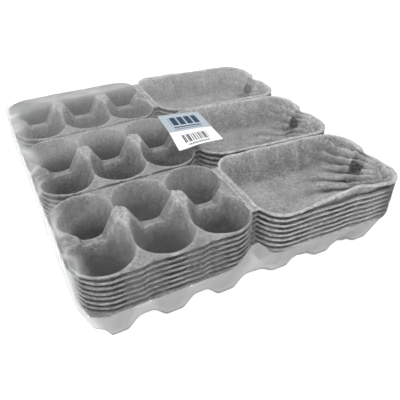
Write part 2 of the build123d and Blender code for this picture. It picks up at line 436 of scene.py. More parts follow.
def rounded_grid(length, corner, step):
    """A grid of points that fills a carton's half with rounded corners, its border just inside the nose."""
    half_x = length / 2 - RIM_NOSE
    half_y = BASE_WIDTH / 2 - RIM_NOSE
    radius = corner - RIM_NOSE
    columns = round(2 * half_x / step) + 1
    rows = round(2 * half_y / step) + 1
    x, y = np.meshgrid(np.linspace(-half_x, half_x, columns), np.linspace(-half_y, half_y, rows))
    a = np.clip((np.abs(x) - half_x + radius) / radius, 0, 1)
    b = np.clip((np.abs(y) - half_y + radius) / radius, 0, 1)
    bent_a = a * np.sqrt(1 - b * b / 2)
    bent_b = b * np.sqrt(1 - a * a / 2)
    return x - np.sign(x) * (a - bent_a) * radius, y - np.sign(y) * (b - bent_b) * radius


def rim_height(level):
    """Height of a carton's rim at its level in the stack."""
    return BASE_HEIGHT + (level - 1) * NEST_PITCH


def row_centres():
    """The cell rows' places along a base, from its middle."""
    return [(row - (ROWS - 1) / 2) * CELL_PITCH for row in range(ROWS)]


def base_surface(x, y, flat_drop, wall_drop, floor_drop):
    """Height of a base's upper face over its rim; the drops turn it into the underside."""
    ridge = POST_RISE - np.maximum(np.abs(y) - RIDGE_TOP_HALF, 0) * RIDGE_FALL
    ridge = ridge - np.maximum(np.abs(x) - CELL_PITCH, 0) * STEEP
    cap = smooth_high(ridge, np.zeros_like(x), LAND_BLEND)
    for row in row_centres():
        sides = np.maximum(np.abs(x - row) - WEB_FLOOR_HALF, 0) / WEB_SIDE_SLOPE
        ends = np.maximum(np.abs(y) - WEB_REACH, 0) * STEEP
        cap = smooth_low(cap, sides + ends - WEB_DROP, NOTCH_BLEND)
    dip = np.maximum(np.abs(y) - DIP_FLOOR_HALF, 0) * DIP_RISE - DIP_DEPTH
    dip = dip + np.maximum(x + CELL_PITCH, 0) * STEEP
    cap = smooth_low(cap, dip, LAND_BLEND)
    nub_distance = np.hypot(x + BASE_LENGTH / 2 - NUB_SETBACK, y)
    cap = cap + NUB_RISE * (1 - smooth_step(nub_distance, 0, NUB_REACH))
    cap = cap - flat_drop
    floor = np.full_like(x, FLOOR + TOUCH - BASE_HEIGHT - floor_drop)
    for row in row_centres():
        for side in (-1, 1):
            distance = np.hypot(x - row, y - side * CELL_SIDE)
            wall = (distance - CELL_RIM_RADIUS) / WALL_SLOPE - wall_drop
            cap = smooth_low(cap, smooth_high(wall, floor, CUP_BLEND), EDGE_BLEND)
    return cap


def inside_distance(x, y, inset):
    """Distance in from the lid's rounded outline at its rim, inset from the edge."""
    half_x = LID_LENGTH / 2 - inset
    half_y = BASE_WIDTH / 2 - inset
    radius = LID_CORNER - inset
    u = np.abs(x - HINGE_HALF_GAP - LID_LENGTH / 2) - half_x + radius
    v = np.abs(y) - half_y + radius
    outside = np.hypot(np.maximum(u, 0), np.maximum(v, 0))
    return radius - outside - np.minimum(np.maximum(u, v), 0)


def lid_surface(x, y, flat_drop, wall_drop, floor_drop):
    """Height of an open lid's upper face over the hinge's rim height; the drops give the underside."""
    rim = -x * LID_TILT
    wall = -inside_distance(x, y, LID_FLANGE) / WALL_SLOPE
    floor = rim - LID_DEPTH + FLOOR
    tray = smooth_high(wall - wall_drop, floor - floor_drop, CUP_BLEND)
    side_gap = BASE_WIDTH / 2 - LID_FLANGE - np.abs(y)
    for row in range(1, ROWS):
        along = np.abs(x + BASE_CENTRE_X - (row - ROWS / 2) * CELL_PITCH)
        pleat = (PLEAT_RIM_DEPTH - side_gap - PLEAT_SPREAD * along) / PLEAT_FALL
        tray = smooth_high(tray, pleat - wall_drop, LAND_BLEND)
    end_gap = LID_END_X - LID_FLANGE - x
    end_pleat = (END_PLEAT_RIM_DEPTH - end_gap - PLEAT_SPREAD * np.abs(y)) / PLEAT_FALL
    tray = smooth_high(tray, end_pleat - wall_drop, LAND_BLEND)
    boss_distance = np.hypot(x - BOSS_X, y - BOSS_Y)
    tray = tray + BOSS_RISE * (1 - smooth_step(boss_distance, BOSS_TOP_RADIUS, BOSS_RADIUS))
    return smooth_low(rim - flat_drop, tray, EDGE_BLEND)


# ---- meshes


def border_walk(rows, columns):
    """Grid indices round a grid's border, anticlockwise."""
    index = np.arange(rows * columns).reshape(rows, columns)
    return np.concatenate([index[0], index[1:, -1], index[-1, -2::-1], index[-2:0:-1, 0]])


def grid_faces(rows, columns):
    """The quads of a grid, facing up."""
    index = np.arange(rows * columns).reshape(rows, columns)
    corners = (index[:-1, :-1], index[:-1, 1:], index[1:, 1:], index[1:, :-1])
    return np.stack([corner.ravel() for corner in corners], axis=1)


def ring_faces(first, second):
    """The quads between two closed rings of vertices, facing out when second lies below first."""
    return np.stack([first, second, np.roll(second, -1), np.roll(first, -1)], axis=1)


def add_object(name, data):
    """An object around its data, linked to the scene."""
    thing = bpy.data.objects.new(name, data)
    bpy.context.scene.collection.objects.link(thing)
    return thing


def add_attribute(mesh, name, values):
    """Store one number for each vertex."""
    attribute = mesh.attributes.new(name, "FLOAT", "POINT")
    attribute.data.foreach_set("value", values.astype(np.float32))


def mesh_object(name, points, faces, material):
    """A smooth-shaded mesh object from an array of points and a list of faces."""
    mesh = bpy.data.meshes.new(name)
    mesh.from_pydata(points.tolist(), [], faces)
    mesh.materials.append(material)
    mesh.polygons.foreach_set("use_smooth", [True] * len(mesh.polygons))
    mesh.update()
    return add_object(name, mesh)


def apply_modifiers(thing):
    """Turn a piece's modifiers into mesh."""
    graph = bpy.context.evaluated_depsgraph_get()
    shown = thing.evaluated_get(graph)
    made = bpy.data.meshes.new_from_object(shown, preserve_all_data_layers=True, depsgraph=graph)
    thing.modifiers.clear()
    thing.data = made


def pulp_shell(name, x, y, top, bottom, tone, under_tone, seed, material):
    """A closed pulp moulding from its upper and lower height fields, with a rough rounded rim."""
    rows, columns = x.shape
    upper = np.stack([x.ravel(), y.ravel(), top.ravel()], axis=1)
    lower = np.stack([x.ravel(), y.ravel(), bottom.ravel()], axis=1)
    walk = border_walk(rows, columns)
    edge = upper[walk]
    edge_x = edge[:, 0]
    edge_y = edge[:, 1]
    edge_tone = tone.ravel()[walk]
    along = np.roll(edge, -1, axis=0) - np.roll(edge, 1, axis=0)
    outward = np.stack([along[:, 1], -along[:, 0], np.zeros(len(walk))], axis=1)
    outward = outward / np.linalg.norm(outward, axis=1)[:, None]
    rough = 1 + layered(edge_x, edge_y, NOSE_ROUGH, seed)
    frill = layered(edge_x, edge_y, NOSE_FRILL, seed + 2)
    speckle = layered(edge_x, edge_y, NOSE_SPECKLE, seed + 3)
    points = [upper, lower]
    tones = [tone.ravel(), under_tone.ravel()]
    faces = [grid_faces(rows, columns), grid_faces(rows, columns)[:, ::-1] + len(upper)]
    previous = walk
    first_new = 2 * len(upper)
    for share in NOSE_SHARES:
        bulge = RIM_NOSE * math.sin(math.pi * share) ** NOSE_POWER
        ring = edge + (lower[walk] - edge) * share + outward * (bulge * rough)[:, None]
        ring[:, 2] += frill * math.sin(math.pi * share)
        numbers = first_new + np.arange(len(walk))
        points.append(ring)
        # Painted shade: the rim's nose is paler at the top and darker towards its underside; the speckle is
        # random.
        tones.append(edge_tone * (NOSE_TONE - NOSE_SHADE_FALL * share) + speckle)
        faces.append(ring_faces(previous, numbers))
        previous = numbers
        first_new += len(walk)
    faces.append(ring_faces(previous, walk + len(upper)))
    shell = mesh_object(name, np.concatenate(points), np.concatenate(faces).tolist(), material)
    add_attribute(shell.data, "tone", np.concatenate(tones))
    return shell


def warped(x, y, seed):
    """The same points, pushed about a little so that walls come out lumpy."""
    return x + layered(x, y, WARP, seed), y + layered(x, y, WARP, seed + 2)


def rim_steps(x):
    """0 to 1: how far a base's long rim stands low and out; it steps up at the start of each land."""
    share = ((x - LAND_STEP_X) / CELL_PITCH) % 1
    falling = 1 - smooth_step(share, 0, LAND_STEP_SHARE)
    rising = (share - LAND_STEP_SHARE) / (1 - LAND_STEP_SHARE)
    return np.where(share < LAND_STEP_SHARE, falling, rising)


def pulp_base(name, level, y_centre, step, seed, material):
    """One carton's base."""
    x, y = rounded_grid(BASE_LENGTH, BASE_CORNER, step)
    u, v = warped(x, y, seed)
    lift = rim_height(level)
    height = base_surface(u, v, 0, 0, 0)
    near_side = smooth_step(np.abs(y), *LAND_SIDE)
    wave = layered(x, y, SAG, seed + 4) - RIM_STEP * rim_steps(x) * near_side
    wave = wave * smooth_step(height, *NEAR_RIM)
    crest = smooth_step(height, *CREST)
    torn = crest * layered(x, y, CREST_TEARS, seed + 11)
    top = height + lift + wave + torn + layered(x, y, GRAIN, seed + 8)
    bottom = base_surface(u, v, FLANGE, WALL_DROP, FLOOR) + lift + wave
    y = y - np.sign(y) * LAND_RETREAT * (1 - rim_steps(x)) * near_side
    # Painted shade deep in the cells and painted highlight on the lands and ridges, with a painted
    # highlight on the post crests; the crest flecks are random.
    tone = painted_light_and_shade(top, lift, step, CELL_TONE, LAND_TONE, BASE_EDGE_TONE)
    tone = tone + crest * (CREST_HIGHLIGHT + layered(x, y, CREST_FLECKS, seed + 12))
    # Painted shade on the outer face where the cartons nest.
    under_tone = outer_tone_with_nest_shade(height, level)
    return pulp_shell(name, x + BASE_CENTRE_X, y + y_centre, top, bottom, tone, under_tone, seed, material)


def lid_outline(x, y):
    """The lid's grid points with the notch at the free end drawn in."""
    reach = smooth_step(x, LID_END_X - NOTCH_REACH, LID_END_X)
    depth = NOTCH_DEPTH * (1 - smooth_step(np.abs(y), 0, NOTCH_HALF))
    return x - depth * reach


def crumples(x, y, stack):
    """Creases from -1 to 1 that run slantwise over a lid, strongest towards its free end."""
    total = np.zeros_like(x)
    for number, (along, across, squeeze, size, strength) in enumerate(CRUMPLE_SETS):
        u = x * along + y * across
        v = (y * along - x * across) * squeeze
        total = total + strength * ridged(u, v, size, SHAPE_SEED + 10 * stack + number)
    reach = CRUMPLE_LEAST + (1 - CRUMPLE_LEAST) * smooth_step(x, CRUMPLE_START, LID_LENGTH)
    return reach * total


def corner_fan(x, y, z):
    """Folds from -1 to 1 that the film has drawn towards a lid's front outer corner."""
    axis = np.array(FAN_AXIS) / np.linalg.norm(FAN_AXIS)
    level = np.cross(axis, (0, 0, 1))
    level = level / np.linalg.norm(level)
    steep = np.cross(level, axis)
    reach = np.stack([x - LID_END_X, y + BASE_WIDTH / 2, z + LID_END_X * LID_TILT])
    distance = np.linalg.norm(reach, axis=0)
    angle = np.arctan2(np.tensordot(steep, reach, 1), -np.tensordot(level, reach, 1))
    angle = angle + layered(x, y, FAN_WANDER, SHAPE_SEED) + layered(x, y, FAN_SHAKE, SHAPE_SEED + 5)
    folds = np.sin(angle * FAN_FOLDS) * (FAN_MEAN + layered(x, y, FAN_UNEVEN, SHAPE_SEED + 6))
    return folds * (1 - smooth_step(distance, *FAN_END)) * smooth_step(distance, *FAN_START)


def lid_hump(x, y):
    """How far the film has bowed up the front lid's front rim, from 0 to 1."""
    along = (x - HUMP_X) / HUMP_HALF
    return np.exp(-along * along) * smooth_step(-y, *HUMP_SIDE)


def pulp_lid(name, stack, level, y_centre, step, seed, material):
    """One carton's lid, lying open."""
    x, y = rounded_grid(LID_LENGTH, LID_CORNER, step)
    x = lid_outline(x + HINGE_HALF_GAP + LID_LENGTH / 2, y)
    inside = smooth_step(inside_distance(x, y, 0), *INSIDE_RIM)
    folds = crumples(x, y, stack) * inside
    fan = corner_fan(x, y, lid_surface(x, y, 0, 0, 0)) * FAN_STRENGTH[stack - 1] * inside
    push = CRUMPLE_PUSH * folds + FAN_PUSH * fan
    u, v = warped(x, y, seed)
    u = u + push
    v = v + push
    lift = rim_height(level)
    height = lid_surface(u, v, 0, 0, 0)
    over_rim = height + u * LID_TILT
    near_rim = smooth_step(over_rim, *NEAR_RIM)
    rim_wave = RIM_WAVES[stack - 1] * lumps(x, y, RIM_WAVE_SIZE, SHAPE_SEED + stack)
    wave = (layered(x, y, SAG, seed + 4) + rim_wave) * near_rim
    # Painted shade on the outer face where the cartons nest.
    under_tone = outer_tone_with_nest_shade(over_rim, level)
    # Where the film bows up the front lid's front rim, the painted shade under the rim is lifted.
    if stack == 1 and level == CARTONS:
        wave = wave + HUMP_RISE * lid_hump(x, y) * near_rim
        under_tone = np.maximum(under_tone, HUMP_SHADE_LIFT * lid_hump(x, y))
    wave = wave + CRUMPLE_RISE * folds + FAN_RISE * fan
    top = height + lift + wave + layered(x, y, GRAIN, seed + 8)
    bottom = lid_surface(u, v, FLANGE, WALL_DROP, FLOOR) + lift + wave
    # Painted shade low in the tray, in the folds of the crumples and fan, round the slot and at the nested
    # lids' ends, and painted highlight on the rim and fold crests.
    tone = painted_light_and_shade(top + u * LID_TILT, lift, step, LID_TONE, LID_RIM_TONE, LID_EDGE_TONE)
    tone = tone + CRUMPLE_LIGHT_AND_SHADE * folds + FAN_LIGHT_AND_SHADE * (fan - FAN_SHADE * np.abs(fan))
    slot_distance = np.hypot(y, LID_END_X - SLOT_FROM_END - x)
    tone = tone - SLOT_SHADE * (1 - smooth_step(slot_distance, *SLOT_FADE))
    if level < CARTONS:
        tone = tone * (1 - NESTED_END_SHADE * smooth_step(x, *NESTED_END))
    lid = pulp_shell(name, x, y + y_centre, top, bottom, tone, under_tone, seed, material)
    cut_slot(lid, y_centre, lift)
    return lid


def slot_cutter(y_centre, lift):
    """An oval bar that runs through the pleat in a lid's end wall."""
    middle = (LID_END_X - SLOT_FROM_END, y_centre, lift - LID_END_X * LID_TILT - SLOT_BELOW_RIM)
    turns = np.linspace(0, 2 * math.pi, SLOT_POINTS, endpoint=False)
    across = SLOT_HALF_WIDTH * np.cos(turns)
    ring = np.stack([np.zeros(SLOT_POINTS), across, SLOT_HALF_HEIGHT * np.sin(turns)], axis=1) + middle
    reach = (SLOT_CUT_HALF, 0, 0)
    numbers = np.arange(SLOT_POINTS)
    sides = ring_faces(numbers + SLOT_POINTS, numbers).tolist()
    ends = [numbers[::-1].tolist(), (numbers + SLOT_POINTS).tolist()]
    mesh = bpy.data.meshes.new("slot_cutter")
    mesh.from_pydata(np.concatenate([ring - reach, ring + reach]).tolist(), [], sides + ends)
    mesh.update()
    return add_object("slot_cutter", mesh)


def cut_slot(lid, y_centre, lift):
    """Cut the oval latch slot through a lid's end wall."""
    cutter = slot_cutter(y_centre, lift)
    cut = lid.modifiers.new("slot", "BOOLEAN")
    cut.operation = "DIFFERENCE"
    cut.solver = "MANIFOLD"
    cut.object = cutter
    apply_modifiers(lid)
    bpy.data.objects.remove(cutter)
    clean_mesh(lid.data)


def largest_part(faces):
    """The biggest group of faces that hang together edge to edge."""
    left = set(faces)
    largest = set()
    while left:
        start = left.pop()
        part = {start}
        waiting = [start]
        while waiting:
            edges = [edge for edge in waiting.pop().edges if len(edge.link_faces) == 2]
            near = {face for edge in edges for face in edge.link_faces} & left
            left -= near
            part |= near
            waiting.extend(near)
        if len(part) > len(largest):
            largest = part
    return largest


def clean_mesh(mesh):
    """Merge the slivers that a cut leaves along its edge and drop the scraps that lie back to back."""
    cleaned = bmesh.new()
    cleaned.from_mesh(mesh)
    bmesh.ops.remove_doubles(cleaned, verts=cleaned.verts, dist=SLIVER)
    bmesh.ops.triangulate(cleaned, faces=cleaned.faces)
    kept = largest_part(cleaned.faces)
    scraps = [face for face in cleaned.faces if face not in kept]
    bmesh.ops.delete(cleaned, geom=scraps, context="FACES")
    cleaned.to_mesh(mesh)
    cleaned.free()


def hinge_strip(name, level, y_centre, seed, material):
    """The thin pulp strip of one living hinge, pinched along its fold."""
    reach = HINGE_HALF_GAP + STRIP_OVERLAP
    across = np.linspace(-reach, reach, STRIP_COLUMNS)
    x, y = np.meshgrid(across, np.linspace(-STRIP_HALF_WIDTH, STRIP_HALF_WIDTH, STRIP_ROWS))
    middle = rim_height(level) - np.maximum(x, 0) * LID_TILT + layered(x, y, STRIP_ROUGH, seed)
    pinch = np.exp(-((x / PINCH_HALF) ** 2))
    top = middle - STRIP_TOP - PINCH_TOP * pinch
    bottom = middle - STRIP_BOTTOM + PINCH_BOTTOM * pinch
    tone = STRIP_TONE - PINCH_SHADE * pinch
    return pulp_shell(name, x, y + y_centre, top, bottom, tone, tone, seed, material)


# ---- the film and its label


def film_edge_z(x, y):
    """Height of the film where it turns down over the rims, bowed up over the front lid's hump."""
    share = np.clip((x + HINGE_HALF_GAP) / LID_END_X, 0, 1)
    hump = HUMP_RISE * lid_hump(x, y + STACK_PITCH)
    return FILM_LATCH_Z + (FILM_LID_Z - FILM_LATCH_Z) * share + hump


def film_top_z(x, y):
    """Height of the film's taut top, which is stretched from the posts to the rims."""
    from_posts = x - BASE_CENTRE_X
    toward_lids = (from_posts - POST_HALF_X) / (FILM_HALF_X - BASE_CENTRE_X - POST_HALF_X)
    toward_latch = (-from_posts - POST_HALF_X) / (BASE_CENTRE_X - FILM_LATCH_X - POST_HALF_X)
    toward_sides = (np.abs(y) - POST_HALF_Y) / (FILM_HALF_Y - POST_HALF_Y)
    share = np.clip(np.maximum(np.maximum(toward_lids, toward_latch), toward_sides), 0, 1)
    dip_distance = np.hypot(x - FILM_DIP_X, y - FILM_DIP_Y)
    dip = FILM_DIP * np.exp(-((dip_distance / FILM_DIP_REACH) ** 2))
    return FILM_TOP + (film_edge_z(x, y) - FILM_TOP) * share - dip


def film_top_wrinkles(x, y):
    """Fine ridges in the film's top, strongest where it is drawn to the front lid's outer corner."""
    reach_x = x - FILM_HALF_X
    reach_y = y + FILM_HALF_Y
    distance = np.hypot(reach_x, reach_y)
    angle = np.arctan2(reach_y, -reach_x)
    folds = np.abs(np.sin(angle * WRINKLES + layered(x, y, WRINKLE_WANDER, WRINKLE_SEED)))
    fan = WRINKLE_RISE * np.exp(-distance / WRINKLE_REACH) * folds * smooth_step(distance, *WRINKLE_START)
    drift = np.abs(lumps(x + 0.4 * y, y * 0.3 - x * 0.1, DRIFT_SIZE, WRINKLE_SEED + 1)) ** 0.5
    return -(fan + DRIFT_RISE * drift)


def film_outline():
    """The film's outline at the rims: positions, outward directions and length along it."""
    half_x = FILM_HALF_X - FILM_CORNER
    half_y = FILM_HALF_Y - FILM_CORNER
    quarter = np.linspace(0, math.pi / 2, FILM_CORNER_POINTS, endpoint=False)
    run = np.linspace(0, 1, FILM_SIDE_POINTS, endpoint=False)
    corners = [(half_x, -half_y), (half_x, half_y), (-half_x, half_y), (-half_x, -half_y)]
    xs = []
    ys = []
    for number, (corner_x, corner_y) in enumerate(corners):
        next_x, next_y = corners[(number + 1) % len(corners)]
        turn = math.pi / 2 * (number - 1)
        out_x = FILM_CORNER * math.cos(turn + math.pi / 2)
        out_y = FILM_CORNER * math.sin(turn + math.pi / 2)
        xs.append(corner_x + FILM_CORNER * np.cos(quarter + turn))
        ys.append(corner_y + FILM_CORNER * np.sin(quarter + turn))
        xs.append(corner_x + out_x + (next_x - corner_x) * run)
        ys.append(corner_y + out_y + (next_y - corner_y) * run)
    x = np.concatenate(xs)
    y = np.concatenate(ys)
    along_x = np.roll(x, -1) - np.roll(x, 1)
    along_y = np.roll(y, -1) - np.roll(y, 1)
    size = np.hypot(along_x, along_y)
    travelled = np.cumsum(np.hypot(np.diff(x, append=x[0]), np.diff(y, append=y[0])))
    return x, y, along_y / size, -along_x / size, travelled


def film_creases(travelled, height):
    """Sharp-crested upright creases that wander as they run down the film's sides."""
    wander = travelled + CREASE_SWAY * np.sin(height * CREASE_WAVES + CREASE_SEED)
    total = np.zeros_like(wander)
    for number, (size, strength) in enumerate(CREASES):
        total = total + strength * ridged(wander, height * CREASE_LENGTHEN, size, CREASE_SEED + number)
    return total


def hem_between(x):
    """0 at a cup or a lid's lobe and 1 halfway between two of them, along the pack's long sides."""
    from_middle = np.minimum(np.abs(np.abs(x) + BASE_CENTRE_X), ROWS / 2 * CELL_PITCH)
    from_cup = np.abs((from_middle + CELL_PITCH / 2) % CELL_PITCH - CELL_PITCH / 2)
    return smooth_step(from_cup, *HEM_LOBE)


def film_hem_z(x, y, facing):
    """Height of the film's lower edge, which is drawn up between the cups and under the lids."""
    under_lid = BASE_HEIGHT - LID_DEPTH - x * LID_TILT - HEM_CLEAR
    low = np.where(x > 0, np.maximum(under_lid, HEM_CLEAR), HEM_CLEAR)
    front = low + np.where(x > 0, LID_HEM_ARCH, HEM_ARCH) * hem_between(x)
    across = np.abs((y + STACK_PITCH / 2) % STACK_PITCH - STACK_PITCH / 2)
    inner = np.cos(math.pi / 2 * np.minimum(across / CELL_SIDE, 1))
    outer = np.sin(math.pi / 2 * np.maximum(across - CELL_SIDE, 0) / (STACK_PITCH / 2 - CELL_SIDE))
    side = low + HEM_ARCH * (inner + outer) ** HEM_POWER
    return front * (1 - facing) + side * facing


def below_rim(x, z):
    """0 to 1: how far a place on the film's sides lies below the lowest rims; higher at the hinges' gap."""
    bunch = GAP_BUNCH * np.exp(-(((x - GAP_X) / GAP_HALF) ** 2))
    rim = BASE_HEIGHT - np.maximum(x, 0) * LID_TILT + bunch
    return smooth_step(rim - z, *BELOW_RIM)


def top_haze(x, y):
    """How milky the film's top is: faint, with a hazy band over each stack's back row of cells."""
    bands = np.zeros_like(x)
    for stack, strength in enumerate(BAND_STRENGTH):
        middle = (stack - (STACKS - 1) / 2) * STACK_PITCH + BAND_SETBACK
        bands = bands + strength * np.exp(-(((y - middle) / BAND_HALF) ** 2))
    bands = bands * smooth_step(-x, *BAND_RANGE)
    veil = VEIL * smooth_step(y, *VEIL_RANGE)
    creases = np.clip(ridged(x, y * 0.7, LATCH_CREASE_SIZE, LATCH_SEED), 0, 1)
    latch = smooth_step(-x, *LATCH_EDGE) * (LATCH_EDGE_HAZE + LATCH_CREASE_HAZE * creases)
    streaks = np.clip(lumps(x * 0.5 + y, y * 3 - x, TOP_STREAK_SIZE, TOP_SEED), 0, 1) ** 2
    streaks = streaks * smooth_step(np.abs(x - 0.02) + np.abs(y), *TOP_STREAK_RANGE)
    return CLEAR_TOP_HAZE + veil + bands + latch + TOP_STREAKS * streaks


def side_haze(x, out_x, z, travelled):
    """How milky the film's sides are: white at the latch end, and opaque below the lowest rims."""
    sway = SIDE_STREAK_SWAY * np.sin(z * SIDE_STREAK_WAVES)
    streaks = 0.5 + SIDE_STREAK_GAIN * lumps(travelled + sway, z * 0.1, SIDE_STREAK_SIZE, SIDE_SEED)
    streaks = np.clip(streaks, 0, 1)
    latch = smooth_step(-out_x, *LATCH_FACING) * (LATCH_HAZE + LATCH_STREAKS * streaks)
    curtain = below_rim(x, z) * (CURTAIN_HAZE + CURTAIN_STREAKS * streaks)
    return np.maximum(CLEAR_SIDE_HAZE + latch + SIDE_STREAKS * streaks, curtain)


def side_shade(x, out_x, z, share):
    """How grey the film's milk is painted on its sides: painted shade where the shadows under the pack show
    through the curtain, a dark painted contact line along the hem, and a light grey at the latch end.
    """
    latch = smooth_step(-out_x, *SHADE_FACING)
    curtain = CURTAIN_SHADE * below_rim(x, z) * (1 - LATCH_SHADE_CUT * latch)
    return np.maximum(curtain, LATCH_SHADE * latch) + HEM_EDGE_SHADE * smooth_step(share, *HEM_EDGE)


def top_ring(x, y, share):
    """One ring of the film's top: over the posts up to POST_SHARE, then out to the rims."""
    inner_x = x / FILM_HALF_X * POST_HALF_X
    inner_y = y / FILM_HALF_Y * POST_HALF_Y
    span = min(share / POST_SHARE, 1)
    grow = max((share - POST_SHARE) / (1 - POST_SHARE), 0)
    ring_x = BASE_CENTRE_X + inner_x * span + (x - BASE_CENTRE_X - inner_x) * grow
    ring_y = inner_y * span + (y - inner_y) * grow
    ring_z = film_top_z(ring_x, ring_y) + film_top_wrinkles(ring_x, ring_y)
    return np.stack([ring_x, ring_y, ring_z], axis=1)


def side_push(x, out_x, z, travelled, share):
    """How far the film's side stands out from its outline: creased, rolled at the top, tucked in below."""
    fall = np.clip((BASE_HEIGHT - z) / (BASE_HEIGHT - film_low.z), 0, 1)
    tuck = HEM_TUCK * fall**TUCK_POWER + HEM_DRAW * hem_between(x) * fall * (1 - np.abs(out_x))
    slack = np.where(out_x < -0.5, LATCH_SLACK, SIDE_SLACK) * math.sin(math.pi * min(share * SLACK_RUN, 1))
    roll = FILM_ROLL * (1 - smooth_step(share, *ROLL_SHARE))
    return film_creases(travelled, z) * slack - tuck - roll


def film_mesh(name, material):
    """The shrink film: a taut top, creased sides and a hem drawn in under the cups."""
    x, y, out_x, out_y, travelled = film_outline()
    x = np.where(x < 0, x * -FILM_LATCH_X / FILM_HALF_X, x)
    rings = []
    haze = []
    shade = []
    for share in FILM_SHARES:
        ring = top_ring(x, y, share)
        rings.append(ring)
        haze.append(top_haze(ring[:, 0], ring[:, 1]))
        shade.append(np.zeros_like(x))
    edge_z = film_edge_z(x, y)
    hem_z = film_hem_z(x, y, np.abs(out_x))
    for share in SIDE_SHARES:
        z = edge_z + (hem_z - edge_z) * share
        push = side_push(x, out_x, z, travelled, share)
        rings.append(np.stack([x + out_x * push, y + out_y * push, z], axis=1))
        haze.append(side_haze(x, out_x, z, travelled))
        shade.append(side_shade(x, out_x, z, share))
    first = np.arange(len(x))
    faces = []
    for ring in range(len(rings) - 1):
        faces.append(ring_faces(first + ring * len(x), first + (ring + 1) * len(x)))
    middle = len(rings) * len(x)
    cap = [(number, (number + 1) % len(x), middle) for number in range(len(x))]
    points = np.concatenate(rings + [rings[0].mean(axis=0)[None, :]])
    film = mesh_object(name, points, np.concatenate(faces).tolist() + cap, material)
    add_attribute(film.data, "tone", np.concatenate(haze + [haze[0][:1]]))
    add_attribute(film.data, "shade", np.concatenate(shade + [shade[0][:1]]))
    return film


def label_ink(u, v):
    """Which ink lies at a place on the label: 0 white, 1 tint, 2 navy, 3 black."""
    if v > LABEL_SPLIT:
        blocks = 0.62 < v < 0.88 and 0.16 < u < 0.84 and (u * 100) % 17 > 4
        rules = 0.18 < u < 0.82 and (0.54 < v < 0.57 or 0.49 < v < 0.51)
        return 2 if blocks or rules else 1
    stripes = (u * 97) % 5 < 2.1 or (u * 61) % 7 < 1.4
    barcode = 0.12 < v < 0.33 and 0.22 < u < 0.78 and stripes
    dots = 0.05 < v < 0.09 and 0.26 < u < 0.74 and (u * 60) % 3 < 2
    return 3 if barcode or dots else 0


def label_piece(name, materials):
    """The paper label, printed with a plain band, blocks and a made-up barcode."""
    u, v = np.meshgrid(np.linspace(0, 1, LABEL_COLUMNS), np.linspace(0, 1, LABEL_ROWS))
    flat_x = (u - 0.5) * LABEL_LENGTH
    flat_y = (v - 0.5) * LABEL_WIDTH
    centre = (label_low + label_high) / 2
    x = centre.x + flat_x * math.cos(LABEL_TURN) - flat_y * math.sin(LABEL_TURN)
    y = centre.y + flat_x * math.sin(LABEL_TURN) + flat_y * math.cos(LABEL_TURN)
    z = film_top_z(x, y) + LABEL_LIFT + layered(x, y, LABEL_WAVES, LABEL_SEED)
    points = np.stack([x.ravel(), y.ravel(), z.ravel()], axis=1)
    label = mesh_object(name, points, grid_faces(LABEL_ROWS, LABEL_COLUMNS).tolist(), materials[0])
    for material in materials[1:]:
        label.data.materials.append(material)
    inks = []
    for row in range(LABEL_ROWS - 1):
        for column in range(LABEL_COLUMNS - 1):
            inks.append(label_ink((column + 0.5) / (LABEL_COLUMNS - 1), (row + 0.5) / (LABEL_ROWS - 1)))
    label.data.polygons.foreach_set("material_index", inks)
    paper = label.modifiers.new("paper", "SOLIDIFY")
    paper.thickness = LABEL_PAPER
    paper.offset = 1
    apply_modifiers(label)
    return label


# ---- materials


def new_material(name):
    """An empty node material and its tree."""
    material = bpy.data.materials.new(name)
    material.use_nodes = True
    material.node_tree.nodes.clear()
    return material, material.node_tree


def node(tree, kind, **values):
    """Add a node and set its properties."""
    made = tree.nodes.new(kind)
    for key, value in values.items():
        setattr(made, key, value)
    return made


def attribute_node(tree, name):
    """A mesh attribute's value."""
    return node(tree, "ShaderNodeAttribute", attribute_name=name).outputs["Fac"]


def noise_node(tree, coordinates, scale, detail, stretch=(1, 1, 1)):
    """A noise texture, stretched along an axis for fibres."""
    mapping = node(tree, "ShaderNodeMapping")
    mapping.inputs["Scale"].default_value = stretch
    tree.links.new(coordinates, mapping.inputs["Vector"])
    texture = node(tree, "ShaderNodeTexNoise")
    texture.inputs["Scale"].default_value = scale
    texture.inputs["Detail"].default_value = detail
    tree.links.new(mapping.outputs["Vector"], texture.inputs["Vector"])
    return texture.outputs["Fac"]


def math_node(tree, operation, *values):
    """A math node on sockets or numbers."""
    made = node(tree, "ShaderNodeMath", operation=operation)
    for number, value in enumerate(values):
        if isinstance(value, (int, float)):
            made.inputs[number].default_value = value
        else:
            tree.links.new(value, made.inputs[number])
    return made.outputs[0]


def weighted_sum(tree, parts):
    """The sum of (socket, weight) pairs."""
    total = math_node(tree, "MULTIPLY", *parts[0])
    for socket, weight in parts[1:]:
        total = math_node(tree, "ADD", total, math_node(tree, "MULTIPLY", socket, weight))
    return total


def ramp_node(tree, factor, stops):
    """A colour ramp with (place, colour) stops."""
    made = node(tree, "ShaderNodeValToRGB")
    ramp = made.color_ramp
    while len(ramp.elements) < len(stops):
        ramp.elements.new(0.5)
    for element, (place, colour) in zip(ramp.elements, stops):
        element.position = place
        element.color = (*colour, 1)
    tree.links.new(factor, made.inputs["Fac"])
    return made.outputs["Color"]


def grey_ramp(tree, factor, stops):
    """A colour ramp with (place, grey level) stops."""
    return ramp_node(tree, factor, [(place, (level, level, level)) for place, level in stops])


def scaled_colour(tree, colour, factor):
    """A colour multiplied by a socket's value."""
    made = node(tree, "ShaderNodeVectorMath", operation="SCALE")
    tree.links.new(colour, made.inputs[0])
    tree.links.new(factor, made.inputs["Scale"])
    return made.outputs[0]


def bump_node(tree, height, strength, distance):
    """A normal roughened by a height."""
    made = node(tree, "ShaderNodeBump")
    made.inputs["Strength"].default_value = strength
    made.inputs["Distance"].default_value = distance
    tree.links.new(height, made.inputs["Height"])
    return made.outputs["Normal"]


